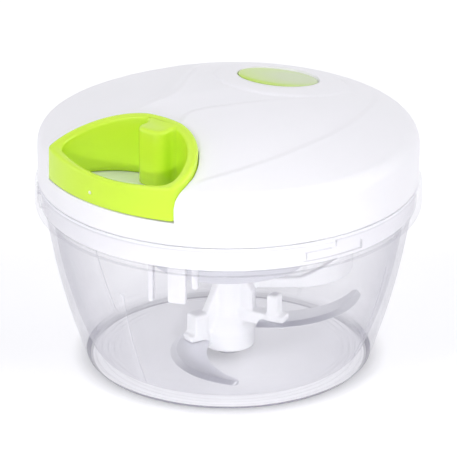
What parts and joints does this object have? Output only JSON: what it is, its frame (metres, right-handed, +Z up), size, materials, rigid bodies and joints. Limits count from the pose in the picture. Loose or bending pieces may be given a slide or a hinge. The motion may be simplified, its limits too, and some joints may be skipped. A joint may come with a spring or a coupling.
{
  "type": "pull-string food chopper",
  "caption": "Round clear bowl with a domed lid; pulling a cord handle spins curved blades on a central hub.",
  "frame": {"origin": "centre of the bowl's foot, on the surface that it stands on", "axes": "+Z up along the axis of the bowl and the blades, -Y out through the pull handle"},
  "size_m": [0.1296, 0.1296, 0.0934],
  "materials": {
    "clear_plastic": "clear polished",
    "white_plastic": "smooth gloss",
    "green_plastic": "smooth gloss",
    "disc_plastic": "satin",
    "seal_rubber": "matt",
    "inner_plastic": "matt",
    "steel": "satin",
    "bronze": "plain",
    "cord_fibre": "braided"
  },
  "bodies": {
    "bowl": {"bowl": "clear_plastic", "pivot_pin": "steel"},
    "seal": {"lid_seal": "seal_rubber"},
    "lid": {"lid_shell": "white_plastic", "lid_base": "white_plastic", "drive_housing": "white_plastic", "top_disc": "disc_plastic", "cord_eyelet": "inner_plastic", "spring_case": "inner_plastic", "recoil_spring": "steel", "axle_pin": "steel", "base_screws": "steel", "shaft_bush": "bronze", "thrust_washer": "bronze"},
    "spool": {"cord_spool": "inner_plastic", "cord_winding": "cord_fibre", "spool_washer": "bronze"},
    "drive": {"drive_shaft": "inner_plastic", "pawl_pins": "steel"},
    "left_pawl": {"left_pawl": "inner_plastic"},
    "right_pawl": {"right_pawl": "inner_plastic"},
    "handle": {"pull_handle": "green_plastic", "cord_knot": "cord_fibre", "pull_cord": "cord_fibre"},
    "blades": {"blade_hub": "white_plastic", "hub_bush": "bronze", "low_blade": "steel", "middle_blade": "steel", "top_blade": "steel"}
  },
  "joints": [
    {"name": "lid_lift", "type": "slide", "parent": "bowl", "child": "seal", "axis": [0, 0, 1], "range_m": [0, 0.08]},
    {"name": "lid_twist", "type": "hinge", "parent": "seal", "child": "lid", "pos_m": [0, 0, 0.0635], "axis": [0, 0, 1], "range_deg": [0, 9.5]},
    {"name": "handle_pull", "type": "slide", "parent": "lid", "child": "handle", "axis": [0, -1, 0], "range_m": [0, 0.35], "stiffness_N_per_m": 10, "springref_m": -0.3, "deforming": ["pull_cord"]},
    {"name": "spool_spin", "type": "hinge", "parent": "lid", "child": "spool", "pos_m": [0, 0, 0.075], "axis": [0, 0, 1], "range_deg": [-1300, 0]},
    {"name": "drive_spin", "type": "hinge", "parent": "lid", "child": "drive", "pos_m": [0, 0, 0.05], "axis": [0, 0, 1], "range_deg": [-1300, 0]},
    {"name": "blade_spin", "type": "hinge", "parent": "bowl", "child": "blades", "pos_m": [0, 0, 0.01], "axis": [0, 0, 1], "range_deg": [-1300, 0]},
    {"name": "left_pawl_swing", "type": "hinge", "parent": "drive", "child": "left_pawl", "pos_m": [0.0114, 0, 0.0648], "axis": [0, 0, 1], "range_deg": [0, 10.5], "stiffness_Nm_per_rad": 0.002, "springref_deg": -17.19},
    {"name": "right_pawl_swing", "type": "hinge", "parent": "drive", "child": "right_pawl", "pos_m": [-0.0114, 0, 0.0648], "axis": [0, 0, 1], "range_deg": [0, 10.5], "stiffness_Nm_per_rad": 0.002, "springref_deg": -17.19}
  ],
  "couplings": [
    {"joint": "spool_spin", "follows": "handle_pull", "rad_per_m": -64.5},
    {"joint": "drive_spin", "follows": "handle_pull", "rad_per_m": -64.5},
    {"joint": "blade_spin", "follows": "handle_pull", "rad_per_m": -64.5}
  ]
}
